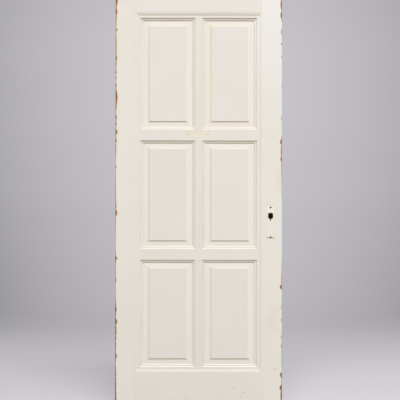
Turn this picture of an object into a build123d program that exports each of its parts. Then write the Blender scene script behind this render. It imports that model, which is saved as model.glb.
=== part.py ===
from build123d import *
import os

# A painted softwood door leaf with six raised and fielded panels, worn at its long edges.
# Millimetres. Z is up, X runs across the leaf towards the lock side, and the shown face looks to -Y.
# The origin is the middle of the bottom edge, halfway through the thickness.

# Leaf
LEAF_WIDTH = 813.0
LEAF_HEIGHT = 2032.0
LEAF_THICKNESS = 44.5
ARRIS_RADIUS = 1.5

# Plain faces of the outer members, up to their moulding
STILE_FACE = 96.5
TOP_FACE = 96.5
BOTTOM_FACE = 180.0

# Cross rails and muntins, set back from the outer members on both faces
INNER_THICKNESS = 35.0
CROSS_FACE = 54.0
MUNTIN_FACE = 35.0
UPPER_CROSS_HEIGHT = 1337.0
LOWER_CROSS_HEIGHT = 754.0

# Ovolo that runs round the whole panelled field, and the flat band inside it
OVOLO_WIDTH = 13.0
OVOLO_QUIRK = 1.0
OVOLO_FILLET = 0.8
BAND_WIDTH = 12.5

# Sticking round each panel: a fillet, a cove, a flat and a bead
STICK_WIDTH = 13.0
STICK_FILLET = 1.2
STICK_COVE = 4.6
STICK_BEAD = 4.0

# Grooves and panels
GROOVE_WIDTH = 14.0
GROOVE_DEPTH = 12.0
TONGUE_CLEARANCE = 0.15
PANEL_PLAY = 3.0
FIELD_INSET_SIDE = 31.5
FIELD_INSET_END = 27.5
FIELD_THICKNESS = 24.0
FIELD_STEP = 3.0
FIELD_ARRIS = 0.8

# Mortise and tenon joints
TENON_THICKNESS = 14.0
TENON_FROM_MOULDING = 4.0
HAUNCH_HEIGHT = 35.0
HAUNCH_LENGTH = 12.0
BOTTOM_TENON_GAP = 34.0
CROSS_TENON_HEIGHT = 46.0
MUNTIN_TENON_WIDTH = 29.0
MUNTIN_TENON_LENGTH = 18.0
MORTISE_SLACK = 1.0
WEDGE_LENGTH = 48.0
WEDGE_HEAD = 6.0
WEDGE_TIP = 0.8

# Empty lock mortise, its face plate recess and the worn hole that leads into it from the front
LOCK_HEIGHT = 942.0
LOCK_BACKSET = 55.5
LOCK_CASE_THICKNESS = 17.0
LOCK_CASE_DEPTH = 84.0
LOCK_CASE_ABOVE = 32.0
LOCK_CASE_BELOW = 78.0
LOCK_PLATE_WIDTH = 23.0
LOCK_PLATE_DEPTH = 3.0
LOCK_PLATE_OVERLAP = 26.0
LOCK_PLATE_SCREW_INSET = 9.0
LOCK_PLATE_SCREW_RADIUS = 1.75
LOCK_PLATE_SCREW_DEPTH = 22.0
LOCK_HOLE_WIDTH = 23.5
LOCK_HOLE_HEIGHT = 29.0
LOCK_HOLE_CORNER = 8.0
LOCK_SLIT_LENGTH = 13.0
LOCK_SLIT_WIDTH = 6.0
LOCK_SLIT_TIP = 1.2

# Screw holes of the lost plate round the lock hole, with their worn mouths
PLATE_SCREW_ABOVE = 41.0
PLATE_SCREW_BELOW = 104.5
PLATE_SCREW_RADIUS = 2.2
PLATE_SCREW_DEPTH = 15.0
PLATE_MOUTH_RADIUS = 3.4
PLATE_MOUTH_DEPTH = 2.0

# Pin holes of the lost name plate on the upper cross rail
NAME_PIN_SPACING = 99.0
NAME_PIN_CENTRE = -5.6
NAME_PIN_RISE = 2.5
NAME_PIN_RADIUS = 1.2
NAME_PIN_DEPTH = 10.0

# Hinge gains in the edge of the hinge stile, open to the back face
HINGE_HEIGHT = 102.0
HINGE_TOP_GAP = 178.0
HINGE_BOTTOM_GAP = 254.0
GAIN_DEPTH = 2.6
GAIN_BACKSET = 7.0
HINGE_SCREW_SPACING = 36.0
HINGE_SCREW_COUNT = 3
HINGE_SCREW_RADIUS = 1.75
HINGE_SCREW_DEPTH = 30.0

# Positions worked out from the sizes above
half_width = LEAF_WIDTH / 2
half_leaf = LEAF_THICKNESS / 2
half_inner = INNER_THICKNESS / 2
half_groove = GROOVE_WIDTH / 2
half_muntin = MUNTIN_FACE / 2
moulded_width = OVOLO_WIDTH + BAND_WIDTH + STICK_WIDTH

shoulder_x = half_width - STILE_FACE
flat_x = shoulder_x - OVOLO_WIDTH - BAND_WIDTH
sight_x = shoulder_x - moulded_width

top_shoulder = LEAF_HEIGHT - TOP_FACE
top_flat = top_shoulder - OVOLO_WIDTH - BAND_WIDTH
bottom_shoulder = BOTTOM_FACE
bottom_flat = bottom_shoulder + OVOLO_WIDTH + BAND_WIDTH

lock_x = half_width - LOCK_BACKSET
half_hinge = HINGE_HEIGHT / 2
hinge_heights = [
    HINGE_BOTTOM_GAP + half_hinge,
    LEAF_HEIGHT / 2,
    LEAF_HEIGHT - HINGE_TOP_GAP - half_hinge,
]

# The flats above and below each row of panels, from the top row down
cross_rails = {"upper": UPPER_CROSS_HEIGHT, "lower": LOWER_CROSS_HEIGHT}
rows = {
    "top": (UPPER_CROSS_HEIGHT + CROSS_FACE / 2, top_flat),
    "middle": (LOWER_CROSS_HEIGHT + CROSS_FACE / 2, UPPER_CROSS_HEIGHT - CROSS_FACE / 2),
    "bottom": (bottom_flat, LOWER_CROSS_HEIGHT - CROSS_FACE / 2),
}

# The section of a stile stands across Z; that of a rail stands across X, its inner edge upwards
ACROSS_STILE = Plane.XY
ACROSS_RAIL = Plane(origin=(0, 0, 0), x_dir=(0, 0, 1), z_dir=(1, 0, 0))


def block(x_range, y_range, z_range):
    """A box between two limits along each axis."""
    sizes = [high - low for low, high in (x_range, y_range, z_range)]
    corner = Pos(x_range[0], y_range[0], z_range[0])
    return corner * Box(*sizes, align=(Align.MIN, Align.MIN, Align.MIN))


def upright(x, y, z):
    """A drawing plane that stands across the thickness at one point, seen from the shown face."""
    return Plane(origin=(x, y, z), x_dir=(1, 0, 0), z_dir=(0, -1, 0))


def prism(points, y_range):
    """An outline in X and Z, carried through the thickness from one y to another."""
    outline = upright(0, y_range[0], 0) * make_face(Polyline(*points, close=True))
    return extrude(outline, amount=y_range[1] - y_range[0], dir=(0, 1, 0))


def bore(start, direction, radius, depth):
    """A round hole that starts at a surface and goes in along a direction."""
    return extrude(Plane(origin=start, z_dir=direction) * Circle(radius), amount=depth)


def ovolo(u, v):
    """The moulded step from the outer face down to the band: quirk, convex curve, fillet."""
    foot = v - (half_leaf - half_inner)
    start, end = (u, v - OVOLO_QUIRK), (u + OVOLO_WIDTH, foot + OVOLO_FILLET)
    return [
        Line((u, v), start),
        TangentArc(start, end, tangent=(1, 0)),
        Line(end, (u + OVOLO_WIDTH, foot)),
    ]


def sticking(u, v):
    """The moulding from the flat at (u, v) down to the groove: fillet, cove, flat, bead, lip."""
    cove_top = v - STICK_FILLET
    shelf = cove_top - STICK_COVE
    sight = u + STICK_WIDTH
    bead_foot = shelf - STICK_BEAD
    bead_middle = (sight - STICK_BEAD, bead_foot)
    return [
        Line((u, v), (u, cove_top)),
        CenterArc((u + STICK_COVE, cove_top), STICK_COVE, 180, 90),
        Line((u + STICK_COVE, shelf), (sight - STICK_BEAD, shelf)),
        CenterArc(bead_middle, STICK_BEAD, 0, 90),
        Line((sight, bead_foot), (sight, half_groove)),
        Line((sight, half_groove), (sight - GROOVE_DEPTH, half_groove)),
        Line((sight - GROOVE_DEPTH, half_groove), (sight - GROOVE_DEPTH, 0)),
    ]


def both_faces(edges):
    """A section given for one face of the leaf, completed by its mirror image."""
    half = make_face(edges)
    return half + mirror(half, about=Plane.XZ)


def outer_section(face_width, arris):
    """Stile or outer rail: u runs from its outer edge, at zero, to the sight line."""
    band_start = face_width + OVOLO_WIDTH
    flat_end = band_start + BAND_WIDTH
    edges = [Line((flat_end + STICK_WIDTH - GROOVE_DEPTH, 0), (0, 0))]
    if arris:
        edges += [
            Line((0, 0), (0, half_leaf - arris)),
            CenterArc((arris, half_leaf - arris), arris, 90, 90),
        ]
    else:
        edges += [Line((0, 0), (0, half_leaf))]
    edges += [Line((arris, half_leaf), (face_width, half_leaf))]
    edges += ovolo(face_width, half_leaf)
    edges += [Line((band_start, half_inner), (flat_end, half_inner))]
    return both_faces(edges + sticking(flat_end, half_inner))


def inner_section(face_width):
    """Cross rail or muntin: u runs both ways from its middle, with sticking at each edge."""
    flat_end = face_width / 2
    edges = [
        Line((flat_end + STICK_WIDTH - GROOVE_DEPTH, 0), (0, 0)),
        Line((0, 0), (0, half_inner)),
        Line((0, half_inner), (flat_end, half_inner)),
    ]
    one_edge = both_faces(edges + sticking(flat_end, half_inner))
    return one_edge + mirror(one_edge, about=Plane.YZ)


def notch(position, flat_half, flat, sight):
    """Four points of a mitred notch in a sticking, where a member of this flat width enters."""
    deep = flat_half + STICK_WIDTH
    return [(position - deep, sight), (position - flat_half, flat),
            (position + flat_half, flat), (position + deep, sight)]


def trim(solid, points):
    """What is left of a moulded length inside an outline in X and Z, mitres and shoulders."""
    return solid & prism(points, (-half_leaf, half_leaf))


def tenon_block(x_range, z_range):
    half = TENON_THICKNESS / 2
    return block(x_range, (-half, half), z_range)


def wedge_pair(side, z_range):
    """The wedges above and below one through tenon, thick at the outer edge of the stile."""
    outer, inner = side * half_width, side * (half_width - WEDGE_LENGTH)
    half = TENON_THICKNESS / 2
    pair = []
    for level, way in ((z_range[0], -1), (z_range[1], 1)):
        points = [(outer, level), (outer, level + way * WEDGE_HEAD),
                  (inner, level + way * WEDGE_TIP), (inner, level)]
        pair.append(prism(points, (-half, half)))
    return pair


# Through tenons of each rail, as height ranges
bottom_tenon_top = bottom_shoulder - TENON_FROM_MOULDING
bottom_tenon_height = (bottom_tenon_top - HAUNCH_HEIGHT - BOTTOM_TENON_GAP) / 2
tenons = {
    "top_rail": [(top_shoulder + TENON_FROM_MOULDING, LEAF_HEIGHT - HAUNCH_HEIGHT)],
    "bottom_rail": [
        (HAUNCH_HEIGHT, HAUNCH_HEIGHT + bottom_tenon_height),
        (bottom_tenon_top - bottom_tenon_height, bottom_tenon_top),
    ],
}
for name, height in cross_rails.items():
    half_tenon = CROSS_TENON_HEIGHT / 2
    tenons[name + "_cross_rail"] = [(height - half_tenon, height + half_tenon)]
haunches = {
    "top_rail": (top_shoulder + TENON_FROM_MOULDING, LEAF_HEIGHT),
    "bottom_rail": (0, bottom_tenon_top),
}


def rail_tenons(rail, side, shoulder):
    """Everything of one rail that enters the stile on one side."""
    reach = sorted((side * shoulder, side * half_width))
    parts = [tenon_block(reach, z_range) for z_range in tenons[rail]]
    if rail in haunches:
        short = sorted((side * shoulder, side * (shoulder + HAUNCH_LENGTH)))
        parts.append(tenon_block(short, haunches[rail]))
    return parts


def rail_shoulder(rail):
    return shoulder_x if rail in haunches else flat_x


def make_stile(side):
    """A moulded upright with mitred ends, notched and mortised for the rails."""
    section = outer_section(STILE_FACE, ARRIS_RADIUS)
    length = Pos(-half_width, 0, 0) * extrude(ACROSS_STILE * section, amount=LEAF_HEIGHT)
    inner_edge = [(bottom_shoulder, -shoulder_x), (bottom_shoulder + moulded_width, -sight_x)]
    for height in sorted(cross_rails.values()):
        inner_edge += notch(height, CROSS_FACE / 2, -flat_x, -sight_x)
    inner_edge += [(top_shoulder - moulded_width, -sight_x), (top_shoulder, -shoulder_x)]
    outline = [(-half_width, 0), (-shoulder_x, 0)] + [(x, z) for z, x in inner_edge]
    outline += [(-shoulder_x, LEAF_HEIGHT), (-half_width, LEAF_HEIGHT)]
    stile = trim(length, outline)
    for rail in tenons:
        cuts = rail_tenons(rail, -1, rail_shoulder(rail))
        for z_range in tenons[rail]:
            cuts += wedge_pair(-1, z_range)
        stile -= cuts
    return stile if side < 0 else mirror(stile, about=Plane.YZ)


def make_outer_rail(rail, face_width, flip):
    """Top or bottom rail: one moulded edge, mitred, with a notch for the muntin."""
    section = outer_section(face_width, 0)
    length = Pos(-shoulder_x, 0, 0) * extrude(ACROSS_RAIL * section, amount=2 * shoulder_x)
    shoulder = face_width
    sight = shoulder + moulded_width
    outline = [(-shoulder_x, 0), (-shoulder_x, shoulder), (-sight_x, sight)]
    outline += notch(0, half_muntin, sight - STICK_WIDTH, sight)
    outline += [(sight_x, sight), (shoulder_x, shoulder), (shoulder_x, 0)]
    solid = trim(length, outline)
    if flip:
        solid = Pos(0, 0, LEAF_HEIGHT) * mirror(solid, about=Plane.XY)
    for side in (-1, 1):
        solid += rail_tenons(rail, side, shoulder_x)
    return solid - muntin_mortises(rail)


def make_cross_rail(rail, height):
    """A rail moulded on both edges, with mitred notches for the muntins above and below."""
    length = extrude(ACROSS_RAIL * inner_section(CROSS_FACE), amount=2 * flat_x)
    flat, sight = CROSS_FACE / 2, CROSS_FACE / 2 + STICK_WIDTH
    upper = [(-flat_x, flat), (-sight_x, sight)] + notch(0, half_muntin, flat, sight)
    upper += [(sight_x, sight), (flat_x, flat)]
    lower = [(x, -z) for x, z in reversed(upper)]
    solid = Pos(0, 0, height) * trim(Pos(-flat_x, 0, 0) * length, upper + lower)
    for side in (-1, 1):
        solid += rail_tenons(rail, side, flat_x)
    return solid - muntin_mortises(rail)


def make_muntin(low, high):
    """A short upright between two rails, with stub tenons."""
    length = Pos(0, 0, low) * extrude(ACROSS_STILE * inner_section(MUNTIN_FACE), amount=high - low)
    sight = half_muntin + STICK_WIDTH
    right = [(half_muntin, low), (sight, low + STICK_WIDTH),
             (sight, high - STICK_WIDTH), (half_muntin, high)]
    left = [(-x, z) for x, z in reversed(right)]
    half = MUNTIN_TENON_WIDTH / 2
    reach = (low - MUNTIN_TENON_LENGTH, high + MUNTIN_TENON_LENGTH)
    return trim(length, right + left) + tenon_block((-half, half), reach)


def muntin_mortises(rail):
    """The blind mortises that the stub tenons of the muntins leave in one rail."""
    half = MUNTIN_TENON_WIDTH / 2
    deep = MUNTIN_TENON_LENGTH + MORTISE_SLACK
    above = {"bottom_rail": bottom_flat}
    below = {"top_rail": top_flat}
    for name, height in cross_rails.items():
        above[name + "_cross_rail"] = height + CROSS_FACE / 2
        below[name + "_cross_rail"] = height - CROSS_FACE / 2
    cuts = []
    if rail in above:
        cuts.append(tenon_block((-half, half), (above[rail] - deep, above[rail])))
    if rail in below:
        cuts.append(tenon_block((-half, half), (below[rail], below[rail] + deep)))
    return cuts


def make_panel(side, low, high):
    """A raised and fielded panel: a tongue all round, a bevel, a small step and a flat field."""
    left, right = sorted((side * (half_muntin + STICK_WIDTH), side * sight_x))
    bottom, top = low + STICK_WIDTH, high - STICK_WIDTH
    entry = GROOVE_DEPTH - PANEL_PLAY
    tongue = half_groove - TONGUE_CLEARANCE
    field = (left + FIELD_INSET_SIDE, right - FIELD_INSET_SIDE)
    field_rows = (bottom + FIELD_INSET_END, top - FIELD_INSET_END)
    panel = block((left - entry, right + entry), (-tongue, tongue),
                  (bottom - GROOVE_DEPTH, top + entry))
    middle_x, middle_z = (left + right) / 2, (bottom + top) / 2
    bevel_top = FIELD_THICKNESS / 2 - FIELD_STEP
    for face in (-1, 1):
        wide = Rectangle(right - left, top - bottom)
        narrow = Rectangle(field[1] - field[0], field_rows[1] - field_rows[0])
        panel += loft([upright(middle_x, face * tongue, middle_z) * wide,
                       upright(middle_x, face * bevel_top, middle_z) * narrow], ruled=True)
    slab = block(field, (-FIELD_THICKNESS / 2, FIELD_THICKNESS / 2), field_rows)
    for face in (Axis.Y, -Axis.Y):
        slab = fillet(slab.faces().sort_by(face)[-1].edges(), FIELD_ARRIS)
    return panel + slab


def lock_hollows():
    """Edge mortise, face plate recess and screw pilots, and the worn hole and slit in front."""
    half_case, half_plate = LOCK_CASE_THICKNESS / 2, LOCK_PLATE_WIDTH / 2
    case = (LOCK_HEIGHT - LOCK_CASE_BELOW, LOCK_HEIGHT + LOCK_CASE_ABOVE)
    plate = (case[0] - LOCK_PLATE_OVERLAP, case[1] + LOCK_PLATE_OVERLAP)
    recess_x = half_width - LOCK_PLATE_DEPTH
    cuts = [
        block((half_width - LOCK_CASE_DEPTH, half_width), (-half_case, half_case), case),
        block((recess_x, half_width), (-half_plate, half_plate), plate),
    ]
    for z in (plate[0] + LOCK_PLATE_SCREW_INSET, plate[1] - LOCK_PLATE_SCREW_INSET):
        cuts.append(bore((recess_x, 0, z), (-1, 0, 0), LOCK_PLATE_SCREW_RADIUS,
                         LOCK_PLATE_SCREW_DEPTH))
    front = (-half_leaf, -half_case)
    opening = upright(lock_x, front[0], LOCK_HEIGHT) * RectangleRounded(
        LOCK_HOLE_WIDTH, LOCK_HOLE_HEIGHT, LOCK_HOLE_CORNER)
    cuts.append(extrude(opening, amount=front[1] - front[0], dir=(0, 1, 0)))
    hole_bottom = LOCK_HEIGHT - LOCK_HOLE_HEIGHT / 2
    slit_right = [(LOCK_SLIT_WIDTH / 2, hole_bottom + LOCK_HOLE_CORNER),
                  (LOCK_SLIT_WIDTH / 2, hole_bottom),
                  (LOCK_SLIT_TIP / 2, hole_bottom - LOCK_SLIT_LENGTH)]
    slit = slit_right + [(-x, z) for x, z in reversed(slit_right)]
    cuts.append(prism([(lock_x + x, z) for x, z in slit], front))
    return cuts


def plate_screw_holes():
    """Two screw holes above and below the lock hole, worn wide at the mouth."""
    cuts = []
    for z in (LOCK_HEIGHT + PLATE_SCREW_ABOVE, LOCK_HEIGHT - PLATE_SCREW_BELOW):
        mouth = (lock_x, -half_leaf, z)
        cuts.append(bore(mouth, (0, 1, 0), PLATE_SCREW_RADIUS, PLATE_SCREW_DEPTH))
        cuts.append(bore(mouth, (0, 1, 0), PLATE_MOUTH_RADIUS, PLATE_MOUTH_DEPTH))
    return cuts


def hinge_gains():
    """Three shallow gains in the edge, open to the back face, each with a row of screw pilots."""
    floor_x = GAIN_DEPTH - half_width
    screw_y = GAIN_BACKSET / 2
    first = -(HINGE_SCREW_COUNT - 1) / 2
    cuts = []
    for height in hinge_heights:
        cuts.append(block((-half_width, floor_x), (GAIN_BACKSET - half_leaf, half_leaf),
                          (height - half_hinge, height + half_hinge)))
        for number in range(HINGE_SCREW_COUNT):
            z = height + (first + number) * HINGE_SCREW_SPACING
            cuts.append(bore((floor_x, screw_y, z), (1, 0, 0), HINGE_SCREW_RADIUS,
                             HINGE_SCREW_DEPTH))
    return cuts


def name_pin_holes():
    """Two small pin holes on the shown face of the upper cross rail."""
    z = UPPER_CROSS_HEIGHT + NAME_PIN_RISE
    return [bore((NAME_PIN_CENTRE + side * NAME_PIN_SPACING / 2, -half_inner, z), (0, 1, 0),
                 NAME_PIN_RADIUS, NAME_PIN_DEPTH) for side in (-1, 1)]


pieces = {
    "hinge_stile": make_stile(-1) - hinge_gains(),
    "lock_stile": make_stile(1) - lock_hollows() - plate_screw_holes(),
    "top_rail": make_outer_rail("top_rail", TOP_FACE, True),
    "bottom_rail": make_outer_rail("bottom_rail", BOTTOM_FACE, False),
    "upper_cross_rail": make_cross_rail("upper_cross_rail", UPPER_CROSS_HEIGHT) - name_pin_holes(),
    "lower_cross_rail": make_cross_rail("lower_cross_rail", LOWER_CROSS_HEIGHT),
}
for row, (low, high) in rows.items():
    pieces[row + "_muntin"] = make_muntin(low, high)
    for word, side in (("left", -1), ("right", 1)):
        pieces["panel_" + row + "_" + word] = make_panel(side, low, high)
for rail, ranges in tenons.items():
    for word, side in (("left", -1), ("right", 1)):
        solids = [wedge for z_range in ranges for wedge in wedge_pair(side, z_range)]
        pieces["wedges_" + rail + "_" + word] = Compound(children=solids)

os.makedirs("parts", exist_ok=True)
for name, shape in pieces.items():
    export_step(shape, "parts/" + name + ".step")
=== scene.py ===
import math
import random

import bmesh
import bpy
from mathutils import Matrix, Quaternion, Vector, noise


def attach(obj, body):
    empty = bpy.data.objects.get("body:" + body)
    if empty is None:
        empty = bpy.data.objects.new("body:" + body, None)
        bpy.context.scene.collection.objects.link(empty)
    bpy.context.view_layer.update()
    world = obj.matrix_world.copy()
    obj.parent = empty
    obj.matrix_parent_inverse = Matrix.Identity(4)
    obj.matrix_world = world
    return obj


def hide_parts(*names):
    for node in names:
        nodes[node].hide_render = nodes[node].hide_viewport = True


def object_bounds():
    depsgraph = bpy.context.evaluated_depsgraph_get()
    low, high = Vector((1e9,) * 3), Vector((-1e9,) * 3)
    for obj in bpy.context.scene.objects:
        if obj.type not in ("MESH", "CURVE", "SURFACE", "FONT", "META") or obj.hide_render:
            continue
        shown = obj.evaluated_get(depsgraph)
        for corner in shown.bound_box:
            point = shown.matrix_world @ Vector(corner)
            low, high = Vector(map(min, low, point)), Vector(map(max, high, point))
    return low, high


# A painted softwood door leaf with six raised and fielded panels, worn to bare wood at its long edges.
# Metres, as in the frame: Z is up, X runs towards the lock edge, and the shown face looks to -Y.

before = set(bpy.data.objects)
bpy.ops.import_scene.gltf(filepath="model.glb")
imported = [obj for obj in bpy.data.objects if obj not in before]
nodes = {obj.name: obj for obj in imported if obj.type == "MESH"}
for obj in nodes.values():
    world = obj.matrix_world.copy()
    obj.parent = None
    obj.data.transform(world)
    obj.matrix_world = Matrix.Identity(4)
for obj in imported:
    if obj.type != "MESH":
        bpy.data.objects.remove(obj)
cad_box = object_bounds()

MM = 0.001
half_width = cad_box[1].x
half_leaf = cad_box[1].y
leaf_height = cad_box[1].z

# Places on the leaf that the paint and the wear follow, as the solids have them
shoulder_x = 0.310
lock_hole = (0.351, 0.942)
hinge_heights = (0.305, 1.016, 1.803)
hinge_half_height = 0.0515
# From the inner end of the lock's mortise to the edge, and the foot and top of its face plate's recess
lock_case_x = 0.3225
face_plate = (0.838, 1.000)
# The solids' long edges are rounded, so wear is measured from about this far in: to the side and back, summed
edge_round_mm = 0.7
# Lost plates and the raised fields: middle x, middle z, half width, half height
lock_plate = (0.3505, 0.9132, 0.0195, 0.0795)
name_plate = (-0.0056, 1.3400, 0.0563, 0.0160)
field_rows = {"top": (1.637, 0.2325), "middle": (1.0455, 0.224), "bottom": (0.46625, 0.22025)}
field_x, field_half_width = 0.151, 0.089


def linear(hex_code):
    """An sRGB colour such as "E8E3DA" as the linear RGBA that sockets take."""
    channels = [int(hex_code[i:i + 2], 16) / 255 for i in (0, 2, 4)]
    return [c / 12.92 if c <= 0.04045 else ((c + 0.055) / 1.055) ** 2.4 for c in channels] + [1]


def add(tree, kind, inputs=None, **settings):
    """Adds a shader node. inputs maps a socket's name or number to a value, or to the output that feeds it."""
    node = tree.nodes.new("ShaderNode" + kind)
    for name, value in settings.items():
        setattr(node, name, value)
    for socket, value in (inputs or {}).items():
        if isinstance(value, bpy.types.NodeSocket):
            tree.links.new(value, node.inputs[socket])
        else:
            node.inputs[socket].default_value = value
    return node


def new_material(name):
    material = bpy.data.materials.new(name)
    material.use_nodes = True
    material.node_tree.nodes.clear()
    return material, material.node_tree


# Camera: 5 m in front of the leaf, a little below the middle of the picture and tilted up to it
camera_distance = 5.0
picture_width = 1.9504
picture_centre = Vector((0.0068, -half_leaf, 1.0193))
camera_drop = 0.050
camera_roll = math.radians(0.063)

camera_data = bpy.data.cameras.new("camera")
camera_data.lens = camera_data.sensor_width * camera_distance / picture_width
camera = bpy.data.objects.new("camera", camera_data)
bpy.context.scene.collection.objects.link(camera)
camera.location = picture_centre + Vector((0, -camera_distance, -camera_drop))
camera.rotation_mode = "QUATERNION"
aim = (picture_centre - camera.location).to_track_quat("-Z", "Y")
camera.rotation_quaternion = aim @ Quaternion((0, 0, 1), camera_roll)
bpy.context.scene.camera = camera
bpy.context.scene.view_settings.view_transform = "Standard"

# Stage: a paper sweep of floor, cove and wall in one sheet
cove_radius, wall_y, wall_top, front_y, half_span = 0.9, 3.1, 6.0, -9.0, 7.0


def make_stage():
    profile = [(front_y, 0), (-2.0, 0), (0, 0), (1.0, 0)]
    steps = 24
    for i in range(steps + 1):
        angle = math.radians(90) * i / steps
        profile.append((wall_y - cove_radius + cove_radius * math.sin(angle),
                        cove_radius - cove_radius * math.cos(angle)))
    profile.append((wall_y, wall_top))
    verts = [(x, y, z) for y, z in profile for x in (-half_span, half_span)]
    faces = [(2 * i, 2 * i + 1, 2 * i + 3, 2 * i + 2) for i in range(len(profile) - 1)]
    mesh = bpy.data.meshes.new("paper_sweep")
    mesh.from_pydata(verts, [], faces)
    mesh.shade_smooth()
    sweep = bpy.data.objects.new("paper_sweep", mesh)
    bpy.context.scene.collection.objects.link(sweep)
    return sweep


def seen_directly(tree):
    """1 for what the camera sees, also in a mirror or through glass, and 0 for light on its way to a surface."""
    path = add(tree, "LightPath")
    seen = add(tree, "Math", {0: path.outputs["Is Camera Ray"], 1: path.outputs["Is Glossy Ray"]}, operation="MAXIMUM")
    return add(tree, "Math", {0: seen.outputs[0], 1: path.outputs["Is Transmission Ray"]},
               operation="MAXIMUM").outputs[0]


# Painted light along the sheet, by the place along it in metres: 0 is level with the foot of the wall. The wall glows
# at these levels, dimmest in the cove as a painted shade, and the floor's colour is brighter towards the front as
# painted light.
wall_glow_levels = ((-0.62, 0.512), (-0.42, 0.494), (-0.28, 0.484), (-0.14, 0.462), (-0.05, 0.467), (0.09, 0.486),
              (0.30, 0.501), (0.84, 0.525), (1.21, 0.547), (1.80, 0.567), (2.20, 0.568), (2.70, 0.544))
floor_painted_light = ((-1.45, 0.515), (-1.15, 0.490), (-0.90, 0.462), (-0.62, 0.425), (-0.40, 0.380))
sheet_start, sheet_end = -1.5, 3.0
paper_tint = (1.030, 1.0, 1.058)


def sweep_material():
    """Matt grey paper. The floor takes the leaf's shadow, and the wall glows as a lit backdrop does; both carry
    painted light that falls off along the sheet and to the sides.
    """
    material, tree = new_material("matt grey paper")
    place = add(tree, "TexCoord").outputs["Object"]
    split = add(tree, "SeparateXYZ", {0: place})
    surface = add(tree, "NewGeometry")
    # One number that grows along the sheet, from the front of the floor to the top of the wall
    back = add(tree, "Math", {0: split.outputs["Y"], 1: wall_y}, operation="SUBTRACT")
    along = add(tree, "Math", {0: back.outputs[0], 1: 0.5, 2: split.outputs["Z"]}, operation="MULTIPLY_ADD")
    spot = add(tree, "MapRange", {"Value": along.outputs[0], "From Min": sheet_start, "From Max": sheet_end})
    # The light falls off towards the sides, more at the left
    side = add(tree, "Math", {0: split.outputs["X"], 1: split.outputs["X"]}, operation="MULTIPLY")
    low = add(tree, "MapRange", {"Value": along.outputs[0], "From Min": -0.45, "From Max": 0.02, "To Min": 0.0,
                                 "To Max": -0.128})
    high = add(tree, "MapRange", {"Value": along.outputs[0], "From Min": 0.2, "From Max": 1.2, "To Min": 0.0,
                                  "To Max": 0.032})
    fall = add(tree, "Math", {0: low.outputs[0], 1: high.outputs[0]}, operation="ADD")
    dim = add(tree, "Math", {0: side.outputs[0], 1: fall.outputs[0], 2: 1.0}, operation="MULTIPLY_ADD")
    tilt = add(tree, "MapRange", {"Value": along.outputs[0], "From Min": 0.4, "From Max": 2.6, "To Min": 0.026,
                                  "To Max": 0.006})
    lean = add(tree, "Math", {0: split.outputs["X"], 1: tilt.outputs[0], 2: dim.outputs[0]}, operation="MULTIPLY_ADD")
    level = add(tree, "Clamp", {"Value": lean.outputs[0], "Min": 0.62, "Max": 1.1})
    colours = []
    for greys in (wall_glow_levels, floor_painted_light):
        ramp = add(tree, "ValToRGB", {0: spot.outputs[0]})
        ramp.color_ramp.interpolation = "EASE"
        elements = ramp.color_ramp.elements
        elements.remove(elements[-1])
        for i, (place_along, grey) in enumerate(greys):
            position = (place_along - sheet_start) / (sheet_end - sheet_start)
            element = elements[0] if i == 0 else elements.new(position)
            element.position = position
            element.color = (grey, grey, grey, 1)
        tone = add(tree, "VectorMath", {0: ramp.outputs[0], "Scale": level.outputs[0]}, operation="SCALE")
        colours.append(add(tree, "VectorMath", {0: tone.outputs[0], 1: paper_tint}, operation="MULTIPLY").outputs[0])
    # The floor is pale to the eye, but throws little light back up at the leaf
    shown = seen_directly(tree)
    thrown = add(tree, "Mix", {0: shown, 6: (0.35, 0.35, 0.35, 1), 7: colours[1]}, data_type="RGBA")
    glow = add(tree, "Emission", {"Color": colours[0], "Strength": 1.0})
    matt = add(tree, "BsdfDiffuse", {"Color": thrown.outputs[2]})
    is_wall = add(tree, "MapRange", {"Value": along.outputs[0], "From Min": -0.80, "From Max": -0.35},
                  interpolation_type="SMOOTHSTEP")
    sheet = add(tree, "MixShader", {0: is_wall.outputs[0], 1: matt.outputs[0], 2: glow.outputs[0]})
    # The wall lets the lamps behind it through, and is see-through from behind
    clear = add(tree, "BsdfTransparent")
    front = add(tree, "Math", {0: 1.0, 1: surface.outputs["Backfacing"]}, operation="SUBTRACT")
    solid = add(tree, "Math", {0: shown, 1: front.outputs[0]}, operation="MULTIPLY")
    is_floor = add(tree, "Math", {0: split.outputs["Z"], 1: 0.001}, operation="LESS_THAN")
    kept = add(tree, "Math", {0: solid.outputs[0], 1: is_floor.outputs[0]}, operation="MAXIMUM")
    mix = add(tree, "MixShader", {0: kept.outputs[0], 1: clear.outputs[0], 2: sheet.outputs[0]})
    add(tree, "OutputMaterial", {"Surface": mix.outputs[0]})
    return material


sweep = make_stage()
sweep.data.materials.append(sweep_material())


# Light: two lamp banks high in front, broad fills from the camera and both sides, two soft boxes at the right, and
# two lamps behind that only the back and the stage see
def make_lamp(name, elevation, turn, strength, spread):
    """A distant lamp, by its height and turn in degrees: turn 0 is the camera's side, 90 the lock edge's."""
    data = bpy.data.lights.new(name, "SUN")
    data.energy = strength
    data.angle = math.radians(spread)
    lamp = bpy.data.objects.new(name, data)
    bpy.context.scene.collection.objects.link(lamp)
    up, round_ = math.radians(elevation), math.radians(turn)
    toward = Vector((math.sin(round_) * math.cos(up), -math.cos(round_) * math.cos(up), math.sin(up)))
    lamp.rotation_mode = "QUATERNION"
    lamp.rotation_quaternion = toward.to_track_quat("Z", "Y")


def make_soft_box(name, place, width, power):
    """A square lamp that is aimed at the middle of the leaf."""
    data = bpy.data.lights.new(name, "AREA")
    data.size = width
    data.energy = power
    lamp = bpy.data.objects.new(name, data)
    bpy.context.scene.collection.objects.link(lamp)
    lamp.location = place
    lamp.rotation_mode = "QUATERNION"
    lamp.rotation_quaternion = (Vector(place) - Vector((0, 0, leaf_height / 2))).to_track_quat("Z", "Y")


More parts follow.
